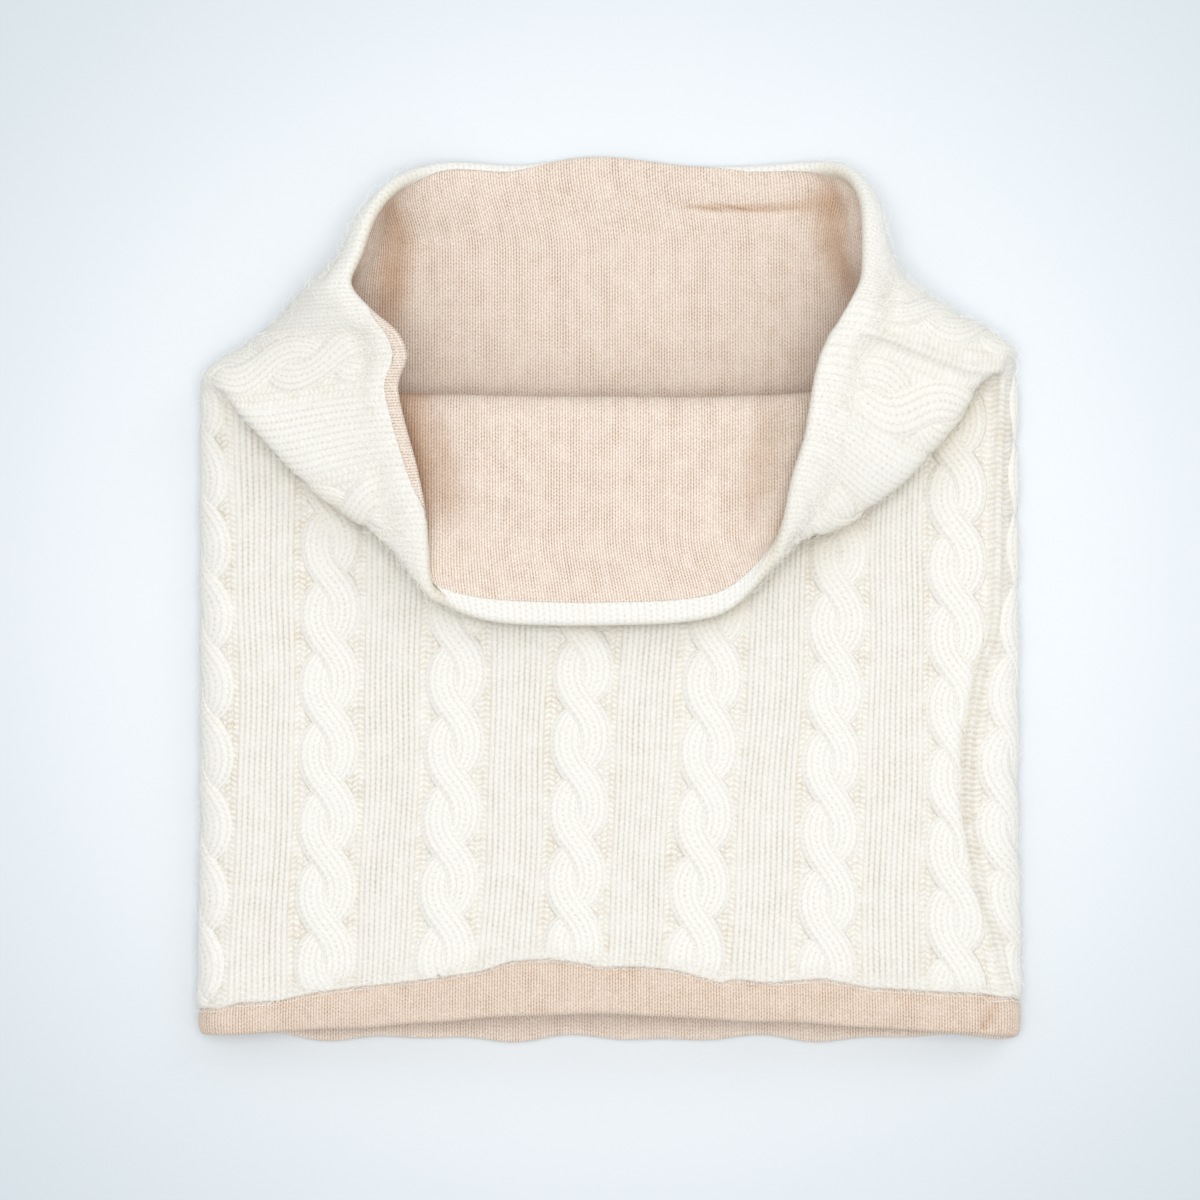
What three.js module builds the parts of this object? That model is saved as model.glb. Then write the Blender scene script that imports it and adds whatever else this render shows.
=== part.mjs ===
// A double-layer knitted snood lying on its back wall, with its mouth squashed open:
// a cream cable-knit tube outside and a finer plain-knit tube inside it, joined at both ends.
// Millimetres, +Z up, +Y towards the mouth. The origin is under the middle of its box.
import * as THREE from 'three';

// The flat tube
const circumference = 562;
const side = circumference / 4;       // from the middle of a wall to a side crease
const frontCables = 7;
const backCables = 7;
const frontSpacing = 43;              // from one cable to the next on the front
const lastOnFront = 117;              // the cable beside the side seam
const cableHalfWidth = 7.5;           // middle of a cable to its shoulder
const gutterOffset = 11.5;            // middle of a cable to the purl gutter beside it
const crossingPitch = 24;             // along a cable, from one crossing to the next
const cableRows = 16;
const seamSpacing = 27;               // the two cables beside the side seam stand closer

// Layers, measured from the face where the two knits meet
const layerGap = 0.15;                // each knit keeps this far from that face
const joinGap = 0.9;                  // where the two knits meet edge to edge
const creamThickness = 2.9;
const liningThickness = 1.5;
const cableRelief = 1.8;
const rimTurn = 1.6;                  // how far a turned edge bulges past the last row
const hemTurn = 1.2;
const turnedCream = 1.9;              // the turned-in cream, on the lining's side
const turnedLining = 2.0;             // the turned-up lining, on the cream's side

// The fold: heights of the layers above the floor, and how far the mouth is folded open
const backHeight = 3.1;
const frontHeight = 12;
const frontArch = 3;
const flapRise = 10.5;
const cornerLow = 10;                 // a corner flap where it leaves the back wall
const cornerRise = 5;                 // a corner flap above the front flap
const cornerPuff = 34;                // the middle of a corner flap near the rim
const hemLift = 4;                    // the front lower edge stands open in the middle

// Around the tube, measured from the middle of the front, positive to the right: the height of
// the fold line, how deep the mouth is folded from there to the rim, the lower edge, the cream
// turned in at the rim and the lining turned up at the lower edge
const sections = [
  { around: -281, foldY: 76, depth: 72, hemY: -149, wrap: 2, band: 14 },
  { around: -210, foldY: 76, depth: 73, hemY: -149, wrap: 4, band: 14 },
  { around: -160, foldY: 76, depth: 73, hemY: -148, wrap: 9, band: 10 },
  { around: -137, foldY: 77, depth: 73, hemY: -147, wrap: 1, band: 8 },
  { around: -100, foldY: 74, depth: 75, hemY: -145, wrap: 1, band: 13 },
  { around: -60, foldY: 72, depth: 79, hemY: -142, wrap: 6, band: 15 },
  { around: -21, foldY: 71, depth: 80, hemY: -139, wrap: 10, band: 18.5 },
  { around: 0, foldY: 71, depth: 80, hemY: -139, wrap: 10, band: 16 },
  { around: 40, foldY: 71, depth: 79, hemY: -141, wrap: 10, band: 13 },
  { around: 90, foldY: 75, depth: 74, hemY: -144, wrap: 10, band: 13 },
  { around: 128, foldY: 84, depth: 70, hemY: -147, wrap: 9, band: 13 },
  { around: 150, foldY: 85, depth: 68, hemY: -148, wrap: 8, band: 10 },
  { around: 200, foldY: 79, depth: 69, hemY: -149, wrap: 7, band: 14 },
];

// The rim as it lies, from the middle of the back round by the left
const rim = [
  { x: 0, y: 148, z: 4 },
  { x: -31, y: 147, z: 4 },
  { x: -53, y: 148, z: 7 },
  { x: -65, y: 145, z: 14 },
  { x: -73, y: 139, z: 22 },
  { x: -80, y: 129, z: 28 },
  { x: -85, y: 116, z: 33 },
  { x: -88, y: 106, z: 36 },
  { x: -81, y: 97, z: 38 },
  { x: -72, y: 89, z: 38 },
  { x: -69, y: 81, z: 37 },
  { x: -72, y: 72, z: 36 },
  { x: -70, y: 60, z: 35 },
  { x: -66, y: 45, z: 34 },
  { x: -63, y: 29, z: 32 },
  { x: -62, y: 16, z: 30 },
  { x: -61, y: 7, z: 28 },
  { x: -57, y: 1, z: 27 },
  { x: -50, y: -3, z: 26 },
  { x: -38, y: -6, z: 25 },
  { x: -22, y: -7, z: 25 },
  { x: 0, y: -7, z: 25 },
  { x: 24, y: -6, z: 25 },
  { x: 38, y: -3, z: 26 },
  { x: 47, y: 4, z: 28 },
  { x: 54, y: 14, z: 31 },
  { x: 59, y: 27, z: 34 },
  { x: 62, y: 41, z: 36 },
  { x: 66, y: 54, z: 38 },
  { x: 68, y: 66, z: 39 },
  { x: 70, y: 77, z: 39 },
  { x: 73, y: 86, z: 40 },
  { x: 77, y: 92, z: 40 },
  { x: 82, y: 100, z: 38 },
  { x: 87, y: 109, z: 36 },
  { x: 89, y: 120, z: 33 },
  { x: 88, y: 132, z: 27 },
  { x: 85, y: 140, z: 20 },
  { x: 79, y: 146, z: 12 },
  { x: 70, y: 148, z: 6 },
  { x: 48, y: 147, z: 4 },
  { x: 28, y: 147, z: 4 },
];

// Places where the lying cloth is pushed in, at every height
const dents = [
  { x: 106, y: 120, reach: 20, moveX: -7, moveY: -7 },
];
const hemFlare = 1.5;                 // each side stands out further at the lower edge
const hemReach = 0.25;                // share of a wale over which the lower edge lifts and flares
const toMiddle = 1.2;                 // brings the middle of the box over the origin

// The cloth grid that the fold is worked out on
const gridColumns = 168;
const gridRows = 100;
const spareRows = 6;                  // past each end, so that smoothing keeps the ends in place
const softenPasses = 5;
const cornerPasses = 20;              // more for the rounder bends beside the mouth

const range = (count) => Array.from({ length: count }, (_, i) => i);
const mix = (a, b, t) => a + (b - a) * t;
const clamp01 = (t) => Math.min(1, Math.max(0, t));
const ease = (t) => clamp01(t) * clamp01(t) * (3 - 2 * clamp01(t));

// A smooth closed curve through values at given places round a loop
function loopCurve(places, values, total) {
  const n = places.length;
  const place = (i) => places[((i % n) + n) % n] + Math.floor(i / n) * total;
  const value = (i) => values[((i % n) + n) % n];
  const slope = (i) => (value(i + 1) - value(i - 1)) / (place(i + 1) - place(i - 1));
  return (at) => {
    const s = places[0] + ((((at - places[0]) % total) + total) % total);
    let i = 0;
    while (i < n - 1 && place(i + 1) <= s) i += 1;
    const span = place(i + 1) - place(i);
    const t = (s - place(i)) / span;
    const [t2, t3] = [t * t, t * t * t];
    return (2 * t3 - 3 * t2 + 1) * value(i) + (t3 - 2 * t2 + t) * span * slope(i)
      + (3 * t2 - 2 * t3) * value(i + 1) + (t3 - t2) * span * slope(i + 1);
  };
}

const sectionCurve = (column) =>
  loopCurve(sections.map((row) => row.around), sections.map((row) => row[column]), circumference);
const foldY = sectionCurve('foldY');
const foldDepth = sectionCurve('depth');
const hemY = sectionCurve('hemY');
const wrap = sectionCurve('wrap');
const band = sectionCurve('band');

// The rim's length is shared out evenly round the tube
const rimLengths = [0];
rim.forEach((row, i) => {
  const next = rim[(i + 1) % rim.length];
  rimLengths.push(rimLengths[i] + Math.hypot(next.x - row.x, next.y - row.y, next.z - row.z));
});
const rimLength = rimLengths.pop();
const rimPlaces = rimLengths.map((length) => (length / rimLength) * circumference);
const rimCurves = ['x', 'y', 'z'].map((axis) =>
  loopCurve(rimPlaces, rim.map((row) => row[axis]), circumference));
const rimPoint = (around) =>
  new THREE.Vector3(...rimCurves.map((curve) => curve(around + circumference / 2)));

// One point of the flat-folded tube. At each side the crease opens out into a corner flap,
// which lies across the walls with its outside up.
function foldedPoint(around, above) {
  const hand = around < 0 ? -1 : 1;
  const past = side - Math.abs(around);        // from the side crease, positive on the front
  const frontZ = frontHeight + frontArch * ease(Math.abs(past) / side);
  let inward = Math.abs(past);
  let up = above;
  let z = past > 0 ? frontZ : backHeight;
  if (above > Math.abs(past)) {
    const turn = past / above;
    const low = mix(cornerLow, frontZ + flapRise + cornerRise, (turn + 1) / 2);
    inward = above;
    up = -past;
    z = mix(low, cornerPuff, (1 - turn * turn) * clamp01(above / foldDepth(around)));
  } else if (past > 0 && above > 0) {
    up = -above;
    z = frontZ + flapRise;
  }
  return new THREE.Vector3(hand * (side - inward), foldY(around) + up, z);
}

// The folded tube softened into cloth, with its rim drawn to the outline it really takes
function layCloth() {
  const columns = [];
  for (let i = 0; i < gridColumns; i += 1) {
    const around = (i / gridColumns - 0.5) * circumference;
    const hem = hemY(around) - foldY(around);
    const depth = foldDepth(around);
    const column = [];
    for (let j = -spareRows; j <= gridRows + spareRows; j += 1) {
      column.push(foldedPoint(around, mix(hem, depth, j / gridRows)));
    }
    columns.push(column);
  }
  for (let pass = 0; pass < softenPasses; pass += 1) soften(columns, () => 1);
  for (let pass = 0; pass < cornerPasses; pass += 1) soften(columns, roundBend);
  columns.forEach((column, i) => {
    const around = (i / gridColumns - 0.5) * circumference;
    const past = Math.abs(side - Math.abs(around));
    const hem = hemY(around) - foldY(around);
    const depth = foldDepth(around);
    const pull = rimPoint(around).sub(column[gridRows + spareRows]);
    const start = 0.8 * Math.min(past, 0.75 * depth);
    const front = Math.abs(around) < side ? 1 : 0;
    column.forEach((point, j) => {
      const part = (j - spareRows) / gridRows;
      const hemPart = 1 - clamp01(part / hemReach);
      point.addScaledVector(pull, ease((mix(hem, depth, part) - start) / (depth - start)));
      point.z += front * hemLift * hemPart * hemPart * ease(past / side);
      point.x *= 1 + hemFlare * hemPart / side;
      dents.forEach((dent) => {
        const away = Math.hypot(point.x - dent.x, point.y - dent.y) / dent.reach;
        point.x += dent.moveX * Math.exp(-away * away);
        point.y += dent.moveY * Math.exp(-away * away);
      });
      point.x += toMiddle;
    });
  });
  return columns.map((column) => column.slice(spareRows, -spareRows));
}

// 1 where a side wall stands up from the back wall beside the mouth, and where the front flap's
// edge turns up into a corner flap; 0 away from these
function roundBend(around, above) {
  const past = side - Math.abs(around);
  const depth = foldDepth(around);
  const sideWall = ease(above / 25) * ease((12 - past) / 30) * ease((depth + 25 + past) / 40);
  const besideMouth = ease((past - 35) / 20) * ease((depth + 35 - past) / 20);
  return Math.max(sideWall, ease((above - 30) / 25) * besideMouth);
}

function soften(columns, share) {
  const n = columns.length;
  const old = columns.map((column) => column.map((point) => point.clone()));
  columns.forEach((column, i) => {
    const around = (i / n - 0.5) * circumference;
    const hem = hemY(around) - foldY(around);
    const depth = foldDepth(around);
    for (let j = 1; j < column.length - 1; j += 1) {
      const sum = new THREE.Vector3();
      [-1, 0, 1].forEach((di) => [-1, 0, 1].forEach((dj) => {
        const weight = (2 - Math.abs(di)) * (2 - Math.abs(dj)) / 16;
        sum.addScaledVector(old[(i + di + n) % n][j + dj], weight);
      }));
      column[j].lerp(sum, share(around, mix(hem, depth, (j - spareRows) / gridRows)));
    }
  });
}

const cloth = layCloth();
const clothLength = 297;

// A point between the grid's own, by bicubic interpolation
function clothPoint(around, along) {
  const gi = (around / circumference + 0.5) * gridColumns;
  const gj = (along / clothLength) * gridRows;
  const i = Math.floor(gi);
  const j = Math.min(gridRows - 1, Math.max(0, Math.floor(gj)));
  const weights = (t) => [
    ((2 - t) * t - 1) * t / 2,
    ((3 * t - 5) * t * t + 2) / 2,
    ((4 - 3 * t) * t + 1) * t / 2,
    (t - 1) * t * t / 2,
  ];
  const wi = weights(gi - i);
  const wj = weights(gj - j);
  const point = new THREE.Vector3();
  for (let a = 0; a < 4; a += 1) {
    const column = cloth[(((i + a - 1) % gridColumns) + gridColumns) % gridColumns];
    for (let b = 0; b < 4; b += 1) {
      const row = j + b - 1;
      const inside = Math.min(gridRows, Math.max(0, row));
      const value = column[inside].clone();
      if (row < 0) value.multiplyScalar(2).sub(column[1]);
      if (row > gridRows) value.multiplyScalar(2).sub(column[gridRows - 1]);
      point.addScaledVector(value, wi[a] * wj[b]);
    }
  }
  return point;
}

const probe = 2.5;                    // distance over which the cloth's direction is measured

// A point of the cloth, moved outwards by a thickness and past its end by a bulge
function clothAt(around, along, outwards, past = 0) {
  const low = Math.max(0, along - probe);
  const high = Math.min(clothLength, along + probe);
  const up = clothPoint(around, high).sub(clothPoint(around, low)).normalize();
  const across = clothPoint(around + probe, along).sub(clothPoint(around - probe, along)).normalize();
  const normal = across.clone().cross(up).normalize();
  const point = clothPoint(around, along).addScaledVector(normal, outwards).addScaledVector(up, past);
  point.z = Math.max(0, point.z);
  return point;
}

const fromFront = (around) =>
  around - circumference * Math.floor(around / circumference + 0.5);

// Places round the tube where the surface needs an edge: each cable's middle, shoulders and gutters
function cableMiddles() {
  const front = range(frontCables).map((i) => lastOnFront - i * frontSpacing);
  const backSpan = circumference - (frontCables - 1) * frontSpacing - seamSpacing;
  const back = range(backCables).map((i) => lastOnFront + seamSpacing + (i * backSpan) / backCables);
  return [...front, ...back].map(fromFront);
}

const cables = cableMiddles();
const offsets = [-gutterOffset, -cableHalfWidth, 0, cableHalfWidth, gutterOffset];
const ringPlaces = cables.flatMap((middle) => offsets.map((offset) => fromFront(middle + offset)))
  .sort((a, b) => a - b);

function relief(around, along) {
  const nearest = Math.min(...cables.map((middle) => Math.abs(fromFront(around - middle))));
  const swell = 0.5 - 0.5 * Math.cos((2 * Math.PI * along) / crossingPitch);
  if (nearest > cableHalfWidth + 0.1) return 0;
  return nearest < 0.1 ? cableRelief : cableRelief * (0.35 + 0.65 * swell);
}

// Rings of points joined into one closed wall: each ring is one row of the wall's section.
// From one strip on, each four-sided face is split the other way, so that it matches the face
// that it lies against.
function closedWall(rings, otherSplitFrom = Infinity) {
  const positions = rings.flat().flatMap((point) => point.toArray());
  const indices = [];
  const n = ringPlaces.length;
  rings.forEach((_, r) => {
    const next = (r + 1) % rings.length;
    for (let i = 0; i < n; i += 1) {
      const k = (i + 1) % n;
      const [a, b, c, d] = [r * n + i, r * n + k, next * n + k, next * n + i];
      indices.push(...(r < otherSplitFrom ? [a, b, c, a, c, d] : [a, b, d, b, c, d]));
    }
  });
  const geometry = new THREE.BufferGeometry();
  geometry.setAttribute('position', new THREE.Float32BufferAttribute(positions, 3));
  geometry.setIndex(indices);
  return geometry;
}

const ring = (make) => ringPlaces.map(make);

// Rows shared by the two knits' facing sides, from the lining's band to the cream's turned rim:
// few along the flat walls, many where the cloth folds
const flatRows = 4;
const foldMargin = 5;                 // rows stand this far before and after a fold
const rimMargin = 11;                 // no fold is followed closer to the rim
const wrapIn = (around) => Math.max(1.5, wrap(around));

// Heights above the fold line where a wale needs a row: at the fold across the front, at the
// slanting fold beside a corner flap, and between them and the cream's turned rim
function foldRows(around) {
  const top = foldDepth(around) - wrapIn(around);
  const slant = Math.min(top - rimMargin, Math.max(9, Math.abs(side - Math.abs(around))));
  const first = 0.6 * foldMargin;
  const low = slant - foldMargin;
  const high = slant + foldMargin;
  return [
    -2 * foldMargin, -first, first, mix(first, low, 1 / 3), mix(first, low, 2 / 3),
    low, slant, high, mix(high, top, 1 / 3), mix(high, top, 2 / 3), top,
  ];
}

function alongOf(around, above) {
  const hem = hemY(around) - foldY(around);
  return clothLength * (above - hem) / (foldDepth(around) - hem);
}

// Every place along a wale, from the lining's band to the cream's turned rim
function sharedRows(around) {
  const folds = foldRows(around).map((above) => alongOf(around, above));
  const flat = range(flatRows).map((i) => mix(band(around), folds[0], i / flatRows));
  return [...flat, ...folds];
}
const sharedCount = sharedRows(0).length;

// The outside of the cream has a row at each crossing of the cables and midway between
function outsideRows(around) {
  const folds = foldRows(around).map((above) => alongOf(around, above));
  const low = band(around) + joinGap;
  const flat = range(cableRows).map((i) => mix(low, folds[0], i / cableRows));
  return [...flat, ...folds, clothLength];
}

const ringsOf = (count, rows, place) => range(count).map((k) =>
  ring((around) => place(around, rows(around)[k], k)));

function creamWall() {
  const outside = ringsOf(cableRows + foldRows(0).length + 1, outsideRows, (around, along) =>
    clothAt(around, along, creamThickness + relief(around, along)));
  const edge = [
    ring((around) => clothAt(around, clothLength, creamThickness * 0.4, rimTurn)),
    ring((around) => clothAt(around, clothLength, -turnedCream * 0.5, rimTurn)),
  ];
  const turnedEnd = (around) => alongOf(around, foldDepth(around) - wrapIn(around));
  const turned = [
    ring((around) => clothAt(around, clothLength, -turnedCream)),
    ring((around) => clothAt(around, turnedEnd(around), -turnedCream)),
  ];
  const inside = ringsOf(sharedCount, sharedRows, (around, along, k) =>
    clothAt(around, along + (k === 0 ? joinGap : 0), layerGap));
  const beforeInside = [...outside, ...edge, ...turned];
  return closedWall([...beforeInside, ...inside.reverse()], beforeInside.length);
}

function liningWall() {
  const rows = (outwards) => ringsOf(sharedCount, sharedRows, (around, along, k) =>
    clothAt(around, along - (k === sharedCount - 1 ? joinGap : 0), outwards));
  const edge = [
    ring((around) => clothAt(around, 0, -liningThickness)),
    ring((around) => clothAt(around, 0, 0, -hemTurn)),
    ring((around) => clothAt(around, 0, turnedLining)),
    ring((around) => clothAt(around, band(around), turnedLining)),
  ];
  return closedWall([...rows(-layerGap), ...rows(-liningThickness).reverse(), ...edge]);
}

function knit(name, geometry, color, roughness) {
  const yarn = new THREE.MeshStandardMaterial({ color, roughness, metalness: 0 });
  const mesh = new THREE.Mesh(geometry, yarn);
  mesh.name = name;
  return mesh;
}

const snood = new THREE.Group();
snood.add(knit('outer_cable_tube', creamWall(), 0xf3f0e2, 0.95));
snood.add(knit('lining_tube', liningWall(), 0xe6cdb9, 0.95));

export default snood;
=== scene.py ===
import math
import bpy
import numpy as np
from mathutils.bvhtree import BVHTree
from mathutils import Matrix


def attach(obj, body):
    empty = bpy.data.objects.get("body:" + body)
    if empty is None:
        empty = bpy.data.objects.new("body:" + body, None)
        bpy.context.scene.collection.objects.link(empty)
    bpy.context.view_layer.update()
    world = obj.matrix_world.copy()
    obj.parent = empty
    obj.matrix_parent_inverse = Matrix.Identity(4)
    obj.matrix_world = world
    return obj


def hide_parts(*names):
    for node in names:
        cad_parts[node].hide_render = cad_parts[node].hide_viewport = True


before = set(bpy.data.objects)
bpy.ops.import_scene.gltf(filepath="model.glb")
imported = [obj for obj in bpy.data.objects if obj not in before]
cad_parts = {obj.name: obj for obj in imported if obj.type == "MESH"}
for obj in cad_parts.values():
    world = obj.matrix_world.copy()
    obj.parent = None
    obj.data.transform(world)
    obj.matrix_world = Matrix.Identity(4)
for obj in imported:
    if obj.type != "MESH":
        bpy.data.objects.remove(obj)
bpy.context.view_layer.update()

millimetre = 0.001  # the tables below are in millimetres, Blender is in metres
print("stage: frame loaded")

# Camera, floor and light: straight down, in a bright soft tent
studio = {
    "cameraHeight": 1.2,
    "fieldWidth": 0.4123,  # what the picture takes in at the floor
    "cameraX": -0.0021,
    "gamma": 0.82,  # below 1 for a crisper picture
    "floorSize": 6,
    "floorColour": "#eaeef1",
    # the floor far out, darkened by painted shade
    "floorEdgeShade": "#d3dbdf",
    "floorShadeSpread": (0.12, 0.33),  # from where to where painted shade darkens the floor, for the light falling off
    "skyColour": "#fcfcfd",
    "skyStrength": 0.74,
}
lights = {
    "topLight": {"place": (0.0, 0.04, 1.5), "size": 1.1, "power": 9.6},
    "sideLight": {"place": (0.9, 0.9, 0.9), "size": 0.9, "power": 2.2},
}


def colour(text):
    values = [int(text[i : i + 2], 16) / 255 for i in (1, 3, 5)]
    linear = [v / 12.92 if v <= 0.04045 else ((v + 0.055) / 1.055) ** 2.4 for v in values]
    return (*linear, 1.0)


def addNode(tree, kind, inputs=None, **settings):
    made = tree.nodes.new(kind)
    for name, value in settings.items():
        setattr(made, name, value)
    for name, value in (inputs or {}).items():
        if isinstance(value, bpy.types.Node):
            value = value.outputs[0]
        if isinstance(value, bpy.types.NodeSocket):
            tree.links.new(value, made.inputs[name])
        else:
            made.inputs[name].default_value = value
    return made


def newMaterial(name):
    material = bpy.data.materials.new(name)
    material.use_nodes = True
    material.node_tree.nodes.clear()
    return material, material.node_tree


def addObject(name, data):
    made = bpy.data.objects.new(name, data)
    bpy.context.scene.collection.objects.link(made)
    return made


def makeStudio():
    scene = bpy.context.scene
    lens = bpy.data.cameras.new("camera")
    lens.sensor_width = 36
    lens.lens = lens.sensor_width * studio["cameraHeight"] / studio["fieldWidth"]
    lens.clip_start = 0.05
    camera = addObject("camera", lens)
    camera.location = (studio["cameraX"], 0, studio["cameraHeight"])
    scene.camera = camera
    scene.view_settings.view_transform = "Standard"
    scene.view_settings.look = "None"
    scene.view_settings.gamma = studio["gamma"]

    world = bpy.data.worlds.new("tentLight")
    world.use_nodes = True
    scene.world = world
    tree = world.node_tree
    tree.nodes.clear()
    skyColour = colour(studio["skyColour"])
    sky = addNode(tree, "ShaderNodeBackground", {"Color": skyColour, "Strength": studio["skyStrength"]})
    addNode(tree, "ShaderNodeOutputWorld", {"Surface": sky})

    for name, values in lights.items():
        light = bpy.data.lights.new(name, "AREA")
        light.shape = "DISK"
        light.size = values["size"]
        light.energy = values["power"]
        lamp = addObject(name, light)
        lamp.location = values["place"]
        away = -np.array(values["place"]) / np.linalg.norm(values["place"])  # it looks at the origin
        lamp.rotation_euler = (math.acos(-away[2]), 0, math.atan2(-away[0], away[1]))

    bpy.ops.object.select_all(action="DESELECT")
    bpy.ops.mesh.primitive_plane_add(size=studio["floorSize"], location=(0, 0, 0))
    floor = bpy.context.object
    floor.name = "paperFloor"
    material, tree = newMaterial("mattPaper")  # seamless background paper: flat and faintly blue, with painted shade towards its edges
    place = addNode(tree, "ShaderNodeTexCoord").outputs["Object"]
    fromMiddle = addNode(tree, "ShaderNodeVectorMath", {0: place}, operation="LENGTH").outputs["Value"]
    start, end = studio["floorShadeSpread"]
    outwards = addNode(
        tree,
        "ShaderNodeMapRange",
        {"Value": fromMiddle, "From Min": start, "From Max": end},
        interpolation_type="SMOOTHSTEP",
    )
    paper = addNode(
        tree,
        "ShaderNodeMix",
        {0: outwards, 6: colour(studio["floorColour"]), 7: colour(studio["floorEdgeShade"])},
        data_type="RGBA",
    )
    shader = addNode(
        tree,
        "ShaderNodeBsdfPrincipled",
        {"Base Color": paper.outputs[2], "Roughness": 0.8, "Specular IOR Level": 0.2},
    )
    addNode(tree, "ShaderNodeOutputMaterial", {"Surface": shader})
    floor.data.materials.append(material)


makeStudio()
print("stage: studio made")

# The cloth: one knitted tube, pressed flat, with its mouth folded open
tube = {
    "circumference": 562,
    "clothLength": 297,  # from the lower edge to the rim
    "backHeight": 3.1,  # heights of the layers above the floor
    "frontHeight": 12,
    "frontArch": 3,  # how much higher the front lies in its middle
    "flapRise": 10.5,  # from the front wall up to the front flap
    "cornerLow": 10,
    "cornerRise": 5,
    "cornerPuff": 34,  # how high a corner flap stands in its middle
    "hemLift": 4,  # how far the front stands off the back at the lower edge
    "hemFlare": 1.5,
    "hemWave": 0.75,  # how far the lower edge swings to and fro
    "hemWaves": [(10, 0.6, 1), (17, 2, 0.8)],  # swings round the tube, where they start, share
    "hemReach": 0.25,  # the share of the wall that lifts, flares and swings
    "toMiddle": 1.2,  # the whole moves right by this, to lie over the origin
    "softenPasses": 5,
    "cornerPasses": 20,
}
gridColumns, gridRows, spareRows = 168, 100, 6
side = tube["circumference"] / 4  # from the middle of a wall to a side crease
clothLength = tube["clothLength"]

# Around the tube from the middle of the front, positive to the right: the fold line, the depth
# of the fold, the lower edge, and how far the lining's band is turned up at the lower edge
sections = [
    (-281, 76, 72, -149, 14),
    (-210, 76, 73, -149, 14),
    (-160, 76, 73, -148, 10),
    (-137, 77, 73, -147, 8),
    (-100, 74, 75, -145, 13),
    (-60, 72, 79, -142, 15),
    (-21, 71, 80, -139, 18.5),
    (0, 71, 80, -139, 16),
    (40, 71, 79, -141, 13),
    (90, 75, 74, -144, 13),
    (128, 84, 70, -147, 13),
    (150, 85, 68, -148, 10),
    (200, 79, 69, -149, 14),
]

# Around the tube: how far over the rim's edge the two knits join, below 0 on the outside. At the
# left the lining rolls out over the edge.
rimJoins = [
    (-281, -0.5), (-262, 2), (-250, 4), (-228, 4.2), (-217, 5.5), (-205, 8), (-192, 10.5),
    (-178, 10.5), (-170, 7), (-164, 2), (-157, -2.5), (-150, -4.8), (-140, -5.6), (-120, -5.4),
    (-105, -5), (-96, -3.5), (-89, 0), (-82, 5), (-73, 8.8), (-60, 9.6), (-40, 9.8), (0, 9.6),
    (40, 9.8), (60, 10.5), (80, 12), (100, 13), (140, 13), (165, 11), (180, 9.5), (195, 7.5),
    (205, 6), (215, 4), (230, 3.6), (245, 1), (262, -0.5),
]  # fmt: skip

# The rim as it lies, from the middle of the back round by the left
rim = [
    (-4, 150.2, 4), (-31, 147.3, 4), (-53, 148, 7), (-65, 145, 14), (-73, 139, 22), (-80, 129, 28),
    (-85, 116, 33), (-88, 106, 36), (-81, 97, 38), (-72, 89, 38), (-69, 81, 37), (-72, 72, 36),
    (-70, 60, 35), (-66, 45, 34), (-63, 29, 32), (-62, 16, 30), (-61, 7, 28), (-57, 1, 27),
    (-50, -3, 26), (-38, -6, 25), (-22, -7, 25), (0, -7, 25), (24, -6, 25), (38, -3, 26),
    (47, 4, 28), (54, 14, 31), (59, 27, 34), (62, 41, 36), (66, 54, 38), (68, 66, 39),
    (70, 77, 39), (73, 86, 40), (77, 92, 40), (82, 100, 38), (87, 109, 36), (89, 120, 33),
    (88, 132, 27), (85, 140, 20), (79, 146, 12), (70, 148, 6), (48, 147, 4), (28, 147, 4),
]  # fmt: skip
dents = [
    {"x": 106, "y": 120, "reach": 20, "moveX": -7, "moveY": -7},
    {"x": -101, "y": 121, "reach": 12, "moveX": 6, "moveY": -4},
]

# Small creases: around and along the cloth, heading from the wales in degrees, half the length,
# half the width, and how far the cloth stands outwards there
wrinkles = [
    (-23, 27, 10, 9, 2.0, -0.8),
    (-18, 24, -30, 7, 1.6, 0.5),
    (40, 22, 4, 9, 1.8, -0.8),
    (58, 19, -25, 6, 1.8, -0.6),
    (-5, 11, 60, 8, 1.6, -0.5),
    (4, 8, 70, 7, 1.6, 0.4),
    (-70, 9, 75, 14, 1.8, -0.4),
    (88, 8, 80, 16, 1.8, -0.4),
    (235, 283, 90, 20, 2.6, 0.8),
    (-201, 270, -27, 22, 1.9, 1.3),
    (201, 281, 41, 15, 1.9, 1.3),
]
# Where the lining is in shade: place, heading, half length and half width as above, and strength
shades = [
    (-207, 266, -4, 34, 9, 0.34),
    (201, 274, 22, 28, 9, 0.24),
    (204, 256, 14, 30, 12, 0.14),
    (236, 284, 88, 20, 1.3, 0.3),
    (232, 284, 90, 34, 4, 0.1),
    (-57, 243, 13, 25, 10, 0.28),
    (51, 243, -12, 27, 10, 0.24),
]


def mix(a, b, t):
    return a + (b - a) * t


def ease(t):
    t = np.clip(t, 0, 1)
    return t * t * (3 - 2 * t)


# A smooth closed curve through values at given places round a loop
def loopCurve(places, values, total):
    places, values = np.array(places, float), np.array(values, float)
    n = len(places)
    lap = np.arange(-2, n + 3)
    place = places[lap % n] + (lap // n) * total
    value = values[lap % n]
    slope = (value[2:] - value[:-2]) / (place[2:] - place[:-2])
    place, value = place[1:-1], value[1:-1]

    def curve(at):
        s = places[0] + np.mod(np.asarray(at, float) - places[0], total)
        i = np.clip(np.searchsorted(place, s, side="right") - 1, 0, len(place) - 2)
        span = place[i + 1] - place[i]
        t = (s - place[i]) / span
        return (
            (2 * t**3 - 3 * t**2 + 1) * value[i]
            + (t**3 - 2 * t**2 + t) * span * slope[i]
            + (3 * t**2 - 2 * t**3) * value[i + 1]
            + (t**3 - t**2) * span * slope[i + 1]
        )

    return curve


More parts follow.
